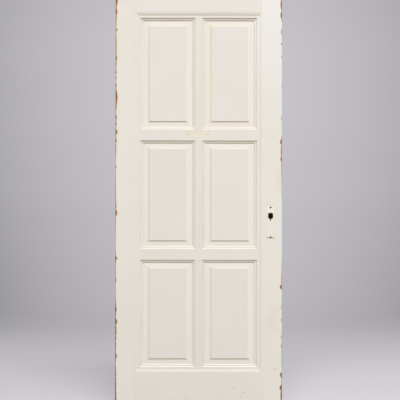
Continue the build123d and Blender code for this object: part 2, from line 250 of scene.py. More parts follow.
make_lamp("high_bank", 51, -4, 1.30, 22)
make_lamp("high_right", 50, 22, 0.83, 20)
make_lamp("front_fill", 5, 0, 0.67, 50)
make_lamp("left_fill", 10, -65, 0.28, 40)
make_lamp("right_fill", 10, 65, 0.09, 40)
make_soft_box("top_box", (2.2, -1.8, 3.5), 1.2, 10)
make_soft_box("right_box", (4.0, -3.0, 1.8), 1.5, 15)
make_lamp("rear_high", 50, 172, 1.5, 20)
make_lamp("rear_fill", 8, 188, 1.0, 60)

world = bpy.data.worlds.new("room")
bpy.context.scene.world = world
world.use_nodes = True
world.node_tree.nodes.clear()
room_light = add(world.node_tree, "Background", {"Color": (1, 1, 1, 1), "Strength": 0.18})
room_grey = add(world.node_tree, "Background", {"Color": linear("BEBCC1"), "Strength": 1.0})
room_mix = add(world.node_tree, "MixShader", {0: seen_directly(world.node_tree), 1: room_light.outputs[0],
                                              2: room_grey.outputs[0]})
add(world.node_tree, "OutputWorld", {0: room_mix.outputs[0]})


# Paint: off-white linseed oil paint, brushed on by hand in many coats, satin and yellowed with age
oil_paint_ior = 1.48


def paint_layers(tree, along, seed, tone="E9E3DA", shade="E5DFD5"):
    """The paint before any marks: its colour, its roughness and its height in mm. along is the grain's axis."""
    place = add(tree, "TexCoord").outputs["Object"]
    split = add(tree, "SeparateXYZ", {0: place})
    # Slow changes of tone, hand to hand and coat to coat, 200 to 400 mm across
    slow = add(tree, "TexNoise", {"Vector": place, "W": seed, "Scale": 3.4, "Detail": 3.0, "Roughness": 0.55},
               noise_dimensions="4D")
    # Brush marks: 1.5 mm apart and about 100 mm long, with the grain
    fine, long_ = 650.0, 10.0
    stretch = (long_, fine, fine) if along == "X" else (fine, fine, long_)
    brushed = add(tree, "Mapping", {"Vector": place, "Location": (seed, seed, seed), "Scale": stretch})
    brush = add(tree, "TexNoise", {"Vector": brushed.outputs[0], "Scale": 1.0, "Detail": 2.0})
    # The grain's ridges, 6 to 8 mm apart, tell faintly through the paint
    grain_fine, grain_long = 140.0, 3.0
    stretch = (grain_long, grain_fine, grain_fine) if along == "X" else (grain_fine, grain_fine, grain_long)
    grained = add(tree, "Mapping", {"Vector": place, "Location": (seed, 0, seed), "Scale": stretch})
    grain = add(tree, "TexNoise", {"Vector": grained.outputs[0], "Scale": 1.0, "Detail": 3.0})
    streaks = add(tree, "Math", {0: brush.outputs[0], 1: grain.outputs[0]}, operation="ADD")
    turn = add(tree, "Math", {0: streaks.outputs[0], 1: 0.35, 2: slow.outputs[0]}, operation="MULTIPLY_ADD")
    spread = add(tree, "MapRange", {"Value": turn.outputs[0], "From Min": 0.55, "From Max": 1.15})
    colour = add(tree, "Mix", {0: spread.outputs[0], 6: linear(tone), 7: linear(shade)}, data_type="RGBA")
    # Painted shade, with yellowed paint and old dust: undersides and corners that see little light are mixed towards a
    # warm brown
    surface = add(tree, "NewGeometry")
    facing = add(tree, "SeparateXYZ", {0: surface.outputs["Normal"]})
    under = add(tree, "MapRange", {"Value": facing.outputs["Z"], "From Min": -0.06, "From Max": -0.55},
                interpolation_type="SMOOTHSTEP")
    open_ = add(tree, "AmbientOcclusion", {"Distance": 0.008}, samples=6)
    shut = add(tree, "MapRange", {"Value": open_.outputs["AO"], "From Min": 0.92, "From Max": 0.45},
               interpolation_type="SMOOTHSTEP")
    lit_from = add(tree, "MapRange", {"Value": facing.outputs["Z"], "From Min": 0.1, "From Max": 0.7, "To Min": 0.40,
                                      "To Max": 0.0})
    corner = add(tree, "Math", {0: shut.outputs[0], 1: lit_from.outputs[0]}, operation="MULTIPLY")
    dirt_and_shade = add(tree, "Math", {0: under.outputs[0], 1: 0.76, 2: corner.outputs[0]}, operation="MULTIPLY_ADD")
    patchy = add(tree, "MapRange", {"Value": grain.outputs[0], "From Min": 0.2, "From Max": 0.8, "To Min": 0.75,
                                    "To Max": 1.2})
    shade_and_dust = add(tree, "Math", {0: dirt_and_shade.outputs[0], 1: patchy.outputs[0]}, operation="MULTIPLY", use_clamp=True)
    shaded_and_aged = add(tree, "Mix", {0: shade_and_dust.outputs[0], 6: colour.outputs[2], 7: linear("CDB48F")}, data_type="RGBA")
    # Painted highlight: what faces up is mixed towards a whiter tone, as the lamps above light it
    over = add(tree, "MapRange", {"Value": facing.outputs["Z"], "From Min": 0.03, "From Max": 0.5, "To Max": 0.5},
               interpolation_type="SMOOTHSTEP")
    top_highlight = add(tree, "Mix", {0: over.outputs[0], 6: shaded_and_aged.outputs[2], 7: linear("EDE9E3")}, data_type="RGBA")
    height = add(tree, "Math", {0: streaks.outputs[0], 1: 0.035}, operation="MULTIPLY")
    gloss = add(tree, "MapRange", {"Value": slow.outputs[0], "From Min": 0.3, "From Max": 0.7, "To Min": 0.42,
                                   "To Max": 0.52})
    return {"place": place, "split": split, "slow": slow, "brush": brush, "grain": grain,
            "colour": top_highlight.outputs[2], "roughness": gloss.outputs[0], "height": height.outputs[0]}


def finish_surface(tree, colour, roughness, height, **sockets):
    """Ends a material. height is in mm, and sockets holds what else is set on the shader."""
    bump = add(tree, "Bump", {"Height": height, "Strength": 1.0, "Distance": MM})
    inputs = {"Base Color": colour, "Roughness": roughness, "Normal": bump.outputs[0]}
    bsdf = add(tree, "BsdfPrincipled", {**inputs, **sockets})
    add(tree, "OutputMaterial", {"Surface": bsdf.outputs[0]})


def oval_mark(tree, place, x, z, half_length, half_height, turn, core):
    """How strongly a mark on the paint shows: 1 within core, a share of its size, and 0 past it. In mm and degrees."""
    angle = math.radians(turn)
    # The mark's own axes: a point is moved to its middle, turned back and scaled to its half sizes
    centred = add(tree, "Mapping", {"Vector": place, "Location": (x * MM, 0, z * MM), "Rotation": (0, -angle, 0),
                                    "Scale": (half_length * MM, 1e6, half_height * MM)}, vector_type="TEXTURE")
    reach = add(tree, "VectorMath", {0: centred.outputs[0]}, operation="LENGTH")
    return add(tree, "MapRange", {"Value": reach.outputs["Value"], "From Min": 1.0, "From Max": core},
               interpolation_type="SMOOTHSTEP").outputs[0]


def strongest(tree, strengths):
    """The largest of several values."""
    total = strengths[0]
    for strength in strengths[1:]:
        total = add(tree, "Math", {0: total, 1: strength}, operation="MAXIMUM").outputs[0]
    return total


def plate_distance(tree, split, middle_x, middle_z, half_x, half_z):
    """Distance to a rectangle's outline on the face, in metres: below 0 inside it."""
    sides = []
    for axis, middle, half in (("X", middle_x, half_x), ("Z", middle_z, half_z)):
        off = add(tree, "Math", {0: split.outputs[axis], 1: middle}, operation="SUBTRACT")
        away = add(tree, "Math", {0: off.outputs[0]}, operation="ABSOLUTE")
        sides.append(add(tree, "Math", {0: away.outputs[0], 1: half}, operation="SUBTRACT").outputs[0])
    return add(tree, "Math", {0: sides[0], 1: sides[1]}, operation="MAXIMUM").outputs[0]


def on_front(tree, split):
    """1 on the shown face's side of the leaf, 0 on the back's."""
    return add(tree, "Math", {0: split.outputs["Y"], 1: 0.0}, operation="LESS_THAN").outputs[0]


def rail_finish(name, seed, marks=(), plate=False, joints=False, along="X", tone="E7E1D8", shade="E4DED4"):
    """Paint on a rail or a muntin, with its specks and scratches."""
    material, tree = new_material(name)
    paint = paint_layers(tree, along, seed, tone, shade)
    colour, height = paint["colour"], paint["height"]
    split, front = paint["split"], on_front(tree, paint["split"])
    if plate:
        # The lost name plate has left yellowed paint, and a thin line of dirt round it
        edge = plate_distance(tree, split, *name_plate)
        ragged = add(tree, "Math", {0: paint["brush"].outputs[0], 1: 0.0012, 2: edge}, operation="MULTIPLY_ADD")
        inside = add(tree, "MapRange", {"Value": ragged.outputs[0], "From Min": 0.0012, "From Max": 0.0})
        shown = add(tree, "Math", {0: inside.outputs[0], 1: front}, operation="MULTIPLY")
        tinted = add(tree, "Mix", {0: shown.outputs[0], 6: colour, 7: linear("E8DFCD")}, data_type="RGBA")
        rim = add(tree, "Math", {0: edge}, operation="ABSOLUTE")
        line = add(tree, "MapRange", {"Value": rim.outputs[0], "From Min": 0.0014, "From Max": 0.0002, "To Max": 0.22})
        lined = add(tree, "Math", {0: line.outputs[0], 1: front}, operation="MULTIPLY")
        outlined = add(tree, "Mix", {0: lined.outputs[0], 6: tinted.outputs[2], 7: linear("BFAE8E")}, data_type="RGBA")
        colour = outlined.outputs[2]
        height = add(tree, "Math", {0: shown.outputs[0], 1: -0.2, 2: height}, operation="MULTIPLY_ADD").outputs[0]
    if joints:
        # The paint has cracked and darkened along the shoulders that meet the stiles
        across = add(tree, "Math", {0: split.outputs["X"]}, operation="ABSOLUTE")
        off = add(tree, "Math", {0: shoulder_x, 1: across.outputs[0]}, operation="SUBTRACT")
        crack = add(tree, "MapRange", {"Value": off.outputs[0], "From Min": 0.0013, "From Max": 0.0003,
                                       "To Max": 0.38})
        broken = add(tree, "MapRange", {"Value": paint["slow"].outputs[0], "From Min": 0.35, "From Max": 0.6,
                                        "To Min": 0.4})
        cracked = add(tree, "Math", {0: crack.outputs[0], 1: broken.outputs[0]}, operation="MULTIPLY")
        colour = add(tree, "Mix", {0: cracked.outputs[0], 6: colour, 7: linear("B7A385")}, data_type="RGBA").outputs[2]
        height = add(tree, "Math", {0: cracked.outputs[0], 1: -0.15, 2: height}, operation="MULTIPLY_ADD").outputs[0]
    if marks:
        spots = strongest(tree, [oval_mark(tree, paint["place"], *mark) for mark in marks])
        shown = add(tree, "Math", {0: spots, 1: front}, operation="MULTIPLY")
        colour = add(tree, "Mix", {0: shown.outputs[0], 6: colour, 7: linear("96714A")}, data_type="RGBA").outputs[2]
    finish_surface(tree, colour, paint["roughness"], height, IOR=oil_paint_ior)
    return material


def panel_finish(name, seed, field, yellow_ring=False):
    """Paint on a panel, its bevels mixed towards a lighter cream than its field."""
    material, tree = new_material(name)
    paint = paint_layers(tree, "Z", seed, tone="E6E0D8", shade="E3DDD3")
    depth = add(tree, "Math", {0: paint["split"].outputs["Y"]}, operation="ABSOLUTE")
    bevel = add(tree, "MapRange", {"Value": depth.outputs[0], "From Min": 0.0100, "From Max": 0.0092})
    creamed = add(tree, "Math", {0: bevel.outputs[0], 1: 0.6}, operation="MULTIPLY")
    colour = add(tree, "Mix", {0: creamed.outputs[0], 6: paint["colour"], 7: linear("EEE9DF")},
                 data_type="RGBA").outputs[2]
    # Painted shade with old dirt: a brown band darkens the bevel against the foot of the field's lower edge, and less
    # against its left edge, where the field's step shades it
    middle_x, middle_z, half_x, half_z = field
    off = plate_distance(tree, paint["split"], middle_x, middle_z, half_x, half_z)
    beside = add(tree, "MapRange", {"Value": off, "From Min": 0.0105, "From Max": 0.0035},
                 interpolation_type="SMOOTHSTEP")
    below = add(tree, "Math", {0: paint["split"].outputs["Z"], 1: middle_z - half_z}, operation="LESS_THAN")
    leftmost = add(tree, "Math", {0: paint["split"].outputs["X"], 1: middle_x - half_x}, operation="LESS_THAN")
    left_side = add(tree, "Math", {0: leftmost.outputs[0], 1: 0.50}, operation="MULTIPLY")
    side = add(tree, "Math", {0: below.outputs[0], 1: left_side.outputs[0]}, operation="MAXIMUM")
    line = add(tree, "Math", {0: beside.outputs[0], 1: side.outputs[0]}, operation="MULTIPLY")
    dirt_and_shade = add(tree, "Math", {0: line.outputs[0], 1: bevel.outputs[0]}, operation="MULTIPLY")
    shade_and_soil = add(tree, "Math", {0: dirt_and_shade.outputs[0], 1: 0.50}, operation="MULTIPLY")
    colour = add(tree, "Mix", {0: shade_and_soil.outputs[0], 6: colour, 7: linear("BFA685")}, data_type="RGBA").outputs[2]
    if yellow_ring:
        # One ring was touched up with a yellower paint, thickest at its left and its foot
        leftward = add(tree, "MapRange", {"Value": paint["split"].outputs["X"], "From Min": 0.25, "From Max": 0.05,
                                          "To Min": 0.10, "To Max": 0.32})
        footward = add(tree, "MapRange", {"Value": paint["split"].outputs["Z"], "From Min": 1.41, "From Max": 1.385,
                                          "To Min": 0.0, "To Max": 0.30})
        most = add(tree, "Math", {0: leftward.outputs[0], 1: footward.outputs[0]}, operation="MAXIMUM")
        patchy = add(tree, "MapRange", {"Value": paint["slow"].outputs[0], "From Min": 0.3, "From Max": 0.6,
                                        "To Min": 0.7, "To Max": 1.1})
        laid = add(tree, "Math", {0: most.outputs[0], 1: patchy.outputs[0]}, operation="MULTIPLY")
        shown = add(tree, "Math", {0: laid.outputs[0], 1: bevel.outputs[0]}, operation="MULTIPLY")
        colour = add(tree, "Mix", {0: shown.outputs[0], 6: colour, 7: linear("EDDFC0")}, data_type="RGBA").outputs[2]
    finish_surface(tree, colour, paint["roughness"], paint["height"], IOR=oil_paint_ior)
    return material


def softwood_layers(tree, place, seed):
    """Bare softwood: tan, with darker lines of late wood 2 to 3 mm apart, and greyed where it is old."""
    fibre = add(tree, "Mapping", {"Vector": place, "Location": (seed, seed, 0), "Scale": (420.0, 420.0, 9.0)})
    lines = add(tree, "TexNoise", {"Vector": fibre.outputs[0], "Scale": 1.0, "Detail": 4.0, "Roughness": 0.6})
    patches = add(tree, "TexNoise", {"Vector": place, "Scale": 22.0, "Detail": 2.0})
    tone = add(tree, "MapRange", {"Value": lines.outputs[0], "From Min": 0.35, "From Max": 0.65})
    wood = add(tree, "Mix", {0: tone.outputs[0], 6: linear("82531F"), 7: linear("B47F45")}, data_type="RGBA")
    greyed = add(tree, "MapRange", {"Value": patches.outputs[0], "From Min": 0.45, "From Max": 0.75, "To Max": 0.35})
    colour = add(tree, "Mix", {0: greyed.outputs[0], 6: wood.outputs[2], 7: linear("8D6E45")}, data_type="RGBA")
    return colour.outputs[2], lines.outputs[0]


def bare_finish(name, seed, over="6E5338", share=0.25, ridges=0.12, roughness=0.8, **sockets):
    """Bare softwood inside the cut-outs, dusty and darkened. over is the colour mixed over it, and share how much of
    it.
    """
    material, tree = new_material(name)
    place = add(tree, "TexCoord").outputs["Object"]
    wood, lines = softwood_layers(tree, place, seed)
    covered = add(tree, "Mix", {0: share, 6: wood, 7: linear(over)}, data_type="RGBA")
    height = add(tree, "Math", {0: lines, 1: ridges}, operation="MULTIPLY")
    finish_surface(tree, covered.outputs[2], roughness, height.outputs[0], **sockets)
    return material


def lost_plate_layers(tree, paint, front, colour, height):
    """The lost lock plate: thinner and cleaner paint where it sat, dirt round it with a painted shade along its top,
    and painted shade at its screw holes.
    """
    split = paint["split"]
    edge = plate_distance(tree, split, *lock_plate)
    inside = add(tree, "MapRange", {"Value": edge, "From Min": 0.0004, "From Max": -0.0004})
    shown = add(tree, "Math", {0: inside.outputs[0], 1: front}, operation="MULTIPLY")
    clean = add(tree, "MapRange", {"Value": split.outputs["Z"], "From Min": 0.90, "From Max": 0.98, "To Min": 0.15,
                                   "To Max": 0.9})
    cleaned = add(tree, "Math", {0: shown.outputs[0], 1: clean.outputs[0]}, operation="MULTIPLY")
    colour = add(tree, "Mix", {0: cleaned.outputs[0], 6: colour, 7: linear("F0EBE2")}, data_type="RGBA").outputs[2]
    rim = add(tree, "Math", {0: edge}, operation="ABSOLUTE")
    line = add(tree, "MapRange", {"Value": rim.outputs[0], "From Min": 0.0011, "From Max": 0.0002})
    # Dirt sits on the plate's foot, less on its long sides, and a painted shade lies along its top, under the edge of
    # the thicker paint round it
    foot = add(tree, "MapRange", {"Value": split.outputs["Z"], "From Min": 0.839, "From Max": 0.8355, "To Min": 0.20,
                                  "To Max": 0.95})
    top = add(tree, "MapRange", {"Value": split.outputs["Z"], "From Min": 0.989, "From Max": 0.992, "To Min": 0.0,
                                 "To Max": 0.45})
    most = add(tree, "Math", {0: foot.outputs[0], 1: top.outputs[0]}, operation="MAXIMUM")
    dirty = add(tree, "Math", {0: line.outputs[0], 1: most.outputs[0]}, operation="MULTIPLY")
    dirt_and_shade = add(tree, "Math", {0: dirty.outputs[0], 1: front}, operation="MULTIPLY")
    colour = add(tree, "Mix", {0: dirt_and_shade.outputs[0], 6: colour, 7: linear("9C8468")}, data_type="RGBA").outputs[2]
    # Painted shade of the plate's two screw holes: black in and round their mouths, with a fainter dark ring round
    # each
    painted_hole_shade, hole_shade_ring = (strongest(tree, [oval_mark(tree, paint["place"], 351, z, *mark) for z in heights])
                       for heights, mark in (((983.0, 837.5), (4.8, 4.8, 0.0, 0.75)),
                                             ((983.0, 838.5), (9.0, 7.0, 0.0, 0.4))))
    weak = add(tree, "Math", {0: hole_shade_ring, 1: 0.45}, operation="MULTIPLY")
    strip = plate_distance(tree, split, 0.3505, 0.8352, 0.0175, 0.0018)
    foot_dirt = add(tree, "MapRange", {"Value": strip, "From Min": 0.0024, "From Max": 0.0, "To Max": 0.60})
    for strength, tone in ((foot_dirt.outputs[0], "9C8468"), (weak.outputs[0], "8C7456"), (painted_hole_shade, "1C1009")):
        seen = add(tree, "Math", {0: strength, 1: front}, operation="MULTIPLY")
        colour = add(tree, "Mix", {0: seen.outputs[0], 6: colour, 7: linear(tone)}, data_type="RGBA").outputs[2]
    matt = add(tree, "Math", {0: painted_hole_shade, 1: front}, operation="MULTIPLY").outputs[0]
    height = add(tree, "Math", {0: shown.outputs[0], 1: -0.12, 2: height}, operation="MULTIPLY_ADD").outputs[0]
    return colour, height, matt


def lock_hole_wear(tree, paint, front):
    """How far within the bare ring round the lock hole a place is, in mm, and how dark the wood is there."""
    # The hole's outline is 8 mm from an inner rectangle of 7.5 by 13 mm, and the ring reaches 8.6 to 9.4 mm from it
    centred = add(tree, "VectorMath", {0: paint["place"], 1: (lock_hole[0], 0, lock_hole[1])}, operation="SUBTRACT")
    flat = add(tree, "VectorMath", {0: centred.outputs[0], 1: (1, 0, 1)}, operation="MULTIPLY")
    folded = add(tree, "VectorMath", {0: flat.outputs[0]}, operation="ABSOLUTE")
    past = add(tree, "VectorMath", {0: folded.outputs[0], 1: (0.00375, 0, 0.0065)}, operation="SUBTRACT")
    kept = add(tree, "VectorMath", {0: past.outputs[0], 1: (0, 0, 0)}, operation="MAXIMUM")
    around = add(tree, "VectorMath", {0: kept.outputs[0]}, operation="LENGTH")
    above = add(tree, "MapRange", {"Value": paint["split"].outputs["Z"], "From Min": lock_hole[1] - 0.012,
                                   "From Max": lock_hole[1] + 0.011, "To Min": 8.6, "To Max": 9.4})
    off = add(tree, "Math", {0: around.outputs["Value"], 1: -1000.0, 2: above.outputs[0]}, operation="MULTIPLY_ADD")
    only_front = add(tree, "MapRange", {"Value": front, "To Min": -50.0, "To Max": 50.0})
    reach = add(tree, "Math", {0: off.outputs[0], 1: only_front.outputs[0]}, operation="MINIMUM")
    darker_near_hole = add(tree, "MapRange", {"Value": around.outputs["Value"], "From Min": 0.0100, "From Max": 0.0060,
                                      "To Max": 0.85})
    return reach.outputs[0], darker_near_hole.outputs[0]


def stile_finish(name, seed, marks, marks_strength, stains=(), lock_side=False):
    """Paint on a stile, worn through to bare softwood along the long edges as far as "worn_width" says."""
    material, tree = new_material(name)
    paint = paint_layers(tree, "Z", seed)
    place, split, front = paint["place"], paint["split"], on_front(tree, paint["split"])
    colour, height = paint["colour"], paint["height"]
    if lock_side:
        # Painted light: the top of this stile is mixed whiter, as light from the upper right falls on it most
        painted_top_light = add(tree, "MapRange", {"Value": split.outputs["Z"], "From Min": 1.35, "From Max": 1.95, "To Max": 0.8})
        colour = add(tree, "Mix", {0: painted_top_light.outputs[0], 6: colour, 7: linear("ECE8E3")}, data_type="RGBA").outputs[2]
    for ovals, strength, tone in ((stains, 0.14, "C9A67E"), (marks, marks_strength, "96714A")):
        if ovals:
            spots = strongest(tree, [oval_mark(tree, place, *oval) for oval in ovals])
            patchy = add(tree, "MapRange", {"Value": paint["grain"].outputs[0], "From Min": 0.3, "From Max": 0.7,
                                            "To Min": 0.5 * strength, "To Max": strength})
            seen = add(tree, "Math", {0: spots, 1: patchy.outputs[0]}, operation="MULTIPLY")
            shown = add(tree, "Math", {0: seen.outputs[0], 1: front}, operation="MULTIPLY")
            colour = add(tree, "Mix", {0: shown.outputs[0], 6: colour, 7: linear(tone)}, data_type="RGBA").outputs[2]
    # What the lock side adds: how far the lock hole's wear reaches, its darkening, and matt spots
    extra = darker_near_hole = matt = None
    if lock_side:
        colour, height, matt = lost_plate_layers(tree, paint, front, colour, height)
        extra, darker_near_hole = lock_hole_wear(tree, paint, front)
    # Distance along the surface from the nearest long outer edge, in mm
    across = add(tree, "Math", {0: split.outputs["X"]}, operation="ABSOLUTE")
    deep = add(tree, "Math", {0: split.outputs["Y"]}, operation="ABSOLUTE")
    sum_ = add(tree, "Math", {0: across.outputs[0], 1: deep.outputs[0]}, operation="ADD")
    away = add(tree, "Math", {0: half_width + half_leaf, 1: sum_.outputs[0]}, operation="SUBTRACT")
    away_mm = add(tree, "Math", {0: away.outputs[0], 1: 1000.0, 2: -edge_round_mm}, operation="MULTIPLY_ADD")
    reach = add(tree, "Attribute", attribute_name="worn_width")
    margin = add(tree, "Math", {0: reach.outputs["Fac"], 1: away_mm.outputs[0]}, operation="SUBTRACT")
    if extra:
        margin = add(tree, "Math", {0: margin.outputs[0], 1: extra}, operation="MAXIMUM")
    # Beside the bare wood the paint has thinned and yellowed, for almost 3 mm
    fringe = add(tree, "MapRange", {"Value": margin.outputs[0], "From Min": -2.8, "From Max": 0.0, "To Max": 0.32})
    where_worn = add(tree, "MapRange", {"Value": reach.outputs["Fac"], "From Min": -0.2, "From Max": 1.6})
    thinned = add(tree, "Math", {0: fringe.outputs[0], 1: where_worn.outputs[0]}, operation="MULTIPLY")
    colour = add(tree, "Mix", {0: thinned.outputs[0], 6: colour, 7: linear("D2A878")}, data_type="RGBA").outputs[2]
    # Paint breaks off in flakes about 2 mm long, with the grain
    flake_place = add(tree, "Mapping", {"Vector": place, "Scale": (700.0, 700.0, 320.0)})
    flakes = add(tree, "TexNoise", {"Vector": flake_place.outputs[0], "Scale": 1.0, "Detail": 3.0})
    torn = add(tree, "Math", {0: flakes.outputs[0], 1: 1.8, 2: -0.8}, operation="MULTIPLY_ADD")
    ragged = add(tree, "Math", {0: margin.outputs[0], 1: torn.outputs[0]}, operation="ADD")
    bare = add(tree, "MapRange", {"Value": ragged.outputs[0], "From Min": -0.12, "From Max": 0.12})
    wood, lines = softwood_layers(tree, place, seed)
    # Thin wear shows yellower wood than the deep chips, and both are darkest near the floor
    fresh = add(tree, "MapRange", {"Value": reach.outputs["Fac"], "From Min": 3.0, "From Max": 6.5})
    old = add(tree, "Mix", {0: fresh.outputs[0], 6: linear("B98A4C"), 7: wood}, data_type="RGBA")
    low = add(tree, "MapRange", {"Value": split.outputs["Z"], "From Min": 0.36, "From Max": 0.10, "To Max": 0.5})
    worn = add(tree, "Mix", {0: low.outputs[0], 6: old.outputs[2], 7: linear("553D24")}, data_type="RGBA")
    # The wood is mixed darker towards the lock hole's mouth
    if darker_near_hole:
        worn = add(tree, "Mix", {0: darker_near_hole, 6: worn.outputs[2], 7: linear("3A2110")}, data_type="RGBA")
    colour = add(tree, "Mix", {0: bare.outputs[0], 6: colour, 7: worn.outputs[2]}, data_type="RGBA").outputs[2]
    # The coats of paint together are 0.3 mm thick
    stepped = add(tree, "Math", {0: bare.outputs[0], 1: -0.3, 2: height}, operation="MULTIPLY_ADD")
    fibres = add(tree, "Math", {0: lines, 1: bare.outputs[0]}, operation="MULTIPLY")
    rough_height = add(tree, "Math", {0: fibres.outputs[0], 1: 0.10, 2: stepped.outputs[0]}, operation="MULTIPLY_ADD")
    rough = bare.outputs[0]
    if matt:
        rough = add(tree, "Math", {0: rough, 1: matt}, operation="MAXIMUM").outputs[0]
    roughness = add(tree, "Mix", {0: rough, 2: paint["roughness"], 3: 0.8})
    finish_surface(tree, colour, roughness.outputs[0], rough_height.outputs[0], IOR=oil_paint_ior)
    return material


# Wear along the front edges. Heights and widths are in mm, and a width below 0 leaves the edge painted.
# "slow" holds points of a line of height and width. "chips" holds the middle, half length and width of each chip.
# The widths are those that show past the flakes of paint left standing, so the wear itself reaches further.
wear_scale, wear_more = 1.22, 0.25
hinge_edge = {
    "slow": [(0, 4.2), (60, 4.2), (130, 4.0), (180, 3.8), (215, 2.6), (240, 2.2), (290, 2.9), (320, 4.3), (350, 4.9),
             (390, 5.2), (415, 4.2), (450, 2.9), (500, 3.2), (540, 1.8), (590, 1.1), (640, 1.8), (760, 1.6),
             (800, 0.6), (880, 1.2), (935, 1.3), (985, 3.0), (1010, 2.6), (1060, 1.8), (1130, 1.3), (1200, 0.9),
             (1240, 1.8), (1270, 3.0), (1330, 2.2), (1400, 3.0), (1450, 2.2), (1475, 4.4), (1545, 4.0), (1600, 1.6),
             (1665, 1.6), (1700, 3.2), (1790, 3.3), (1835, 2.1), (1870, 2.2), (1900, 3.3), (1965, 3.9), (2032, 4.2)],
    "chips": [(1990, 16, 8.4), (1938, 17, 6.2), (1850, 7, 6.8), (1711, 18, 5.6), (1685, 6, 4.6), (1643, 8, 4.9),
              (1616, 7, 4.2), (1578, 10, 4.3), (1519, 41, 7.4), (1424, 14, 5.4), (1390, 11, 4.7), (1350, 13, 7.4),
              (1308, 12, 4.8), (1180, 6, 4.6), (1058, 6, 2.8), (956, 16, 8.0), (735, 10, 7.6), (717, 6, 3.4),
              (629, 12, 3.8), (485, 18, 5.3), (426, 16, 7.9), (259, 13, 7.6), (110, 12, 4.6), (50, 12, 5.0)]}
lock_edge = {
    "slow": [(0, 4.8), (60, 4.6), (85, 4.0), (130, 1.0), (190, -0.4), (215, 0.7), (300, 0.6), (400, -0.3),
             (470, -0.4), (540, 0.1), (575, -0.6), (620, 2.2), (655, 1.4), (700, 0.4), (760, -0.8), (1000, -0.8),
             (1040, 0.5), (1080, 0.2), (1110, 0.7), (1160, 1.3), (1195, 2.0), (1230, 3.1), (1270, 3.5), (1290, 2.0),
             (1320, 1.8), (1340, -0.4), (1420, -0.6), (1550, -0.9), (1880, -0.6), (1900, 1.2), (1950, 2.2),
             (1985, 4.0), (2032, 4.4)],
    "chips": [(1973, 26, 5.4), (1922, 18, 5.6), (1841, 15, 2.8), (1782, 7, 3.4), (1719, 7, 2.4), (1573, 9, 0.9),
              (1419, 14, 1.5), (1303, 14, 6.8), (1219, 11, 5.8), (596, 13, 7.6), (497, 12, 1.7), (435, 8, 2.9),
              (351, 10, 2.5), (308, 9, 3.1), (168, 14, 6.6), (106, 13, 8.6)]}


def worn_width(height, edge, seed):
    """How far bare wood reaches in from a long edge at a height, in mm."""
    slow = edge["slow"]
    width = slow[-1][1]
    for (low, low_width), (high, high_width) in zip(slow, slow[1:]):
        if low <= height <= high:
            width = low_width + (high_width - low_width) * (height - low) / (high - low)
            break
    width *= 1.0 + 0.35 * noise.noise(Vector((height / 31, seed, 0))) + 0.35 * noise.noise(
        Vector((height / 9, seed, 5)))
    for middle, half, deepest in edge["chips"]:
        off = (height - middle) / half
        if abs(off) < 1:
            uneven = 1 + 0.22 * noise.noise(Vector((height / 7, seed, 9)))
            width = max(width, deepest * uneven * (1 - off * off) ** 0.6)
    return max(-1.0, wear_scale * width + wear_more)


def made_up_edge(seed, width, chips):
    """Wear for a long edge that the photograph doesn't show."""
    dice = random.Random(seed)
    return {"slow": [(h, width * dice.uniform(0.4, 1.5)) for h in range(0, 2200, 110)],
            "chips": [(dice.uniform(30, 2000), dice.uniform(5, 18), width * dice.uniform(1.8, 3.4))
                      for i in range(chips)]}


def cut_at(bm, faces, axis, value):
    """Cuts the given faces by one plane square to an axis. Returns the faces on both sides of it."""
    parts = set(faces)
    for face in faces:
        parts.update(face.edges)
        parts.update(face.verts)
    point, normal = Vector((0, 0, 0)), Vector((0, 0, 0))
    point[axis], normal[axis] = value, 1
    cut = bmesh.ops.bisect_plane(bm, geom=list(parts), dist=1e-7, plane_co=point, plane_no=normal)
    return [part for part in cut["geom"] if isinstance(part, bmesh.types.BMFace)]


def cut_evenly(bm, faces, axis, low, high, step):
    """Cuts the given faces by planes square to an axis, halving until no piece is longer than a step."""
    if high - low <= step or not faces:
        return faces
    middle = (low + high) / 2
    pieces = cut_at(bm, faces, axis, middle)
    below = [face for face in pieces if face.calc_center_median()[axis] < middle]
    above = [face for face in pieces if face.calc_center_median()[axis] >= middle]
    return cut_evenly(bm, below, axis, low, middle, step) + cut_evenly(bm, above, axis, middle, high, step)


def cut_edges(bm, side):
    """Cuts the faces beside the two long outer edges finely: 12 mm in from the side, and 5 mm back on it."""
    outer = side * half_width
    for inward in (0.003, 0.005, 0.008, 0.012):
        faces = [f for f in bm.faces if abs(f.normal.y) > 0.9 and abs(f.calc_center_median().y) > 0.02]
        cut_at(bm, faces, 0, outer - side * inward)
    for inward in (0.003, 0.005):
        for y in (-half_leaf + inward, half_leaf - inward):
            faces = [f for f in bm.faces if f.normal.x * side > 0.9 and abs(f.calc_center_median().x - outer) < 0.0005]
            cut_at(bm, faces, 1, y)
    for back in (False, True):
        strip = []
        for face in bm.faces:
            middle = face.calc_center_median()
            from_side, from_face = half_width - abs(middle.x), half_leaf - abs(middle.y)
            if ((middle.y > 0) == back and abs(face.normal.z) < 0.5 and from_face < 0.0052
                    and from_side < 0.0122 and from_side + from_face < 0.0122):
                strip.append(face)
        cut_evenly(bm, strip, 2, 0.0, leaf_height, 0.0041)


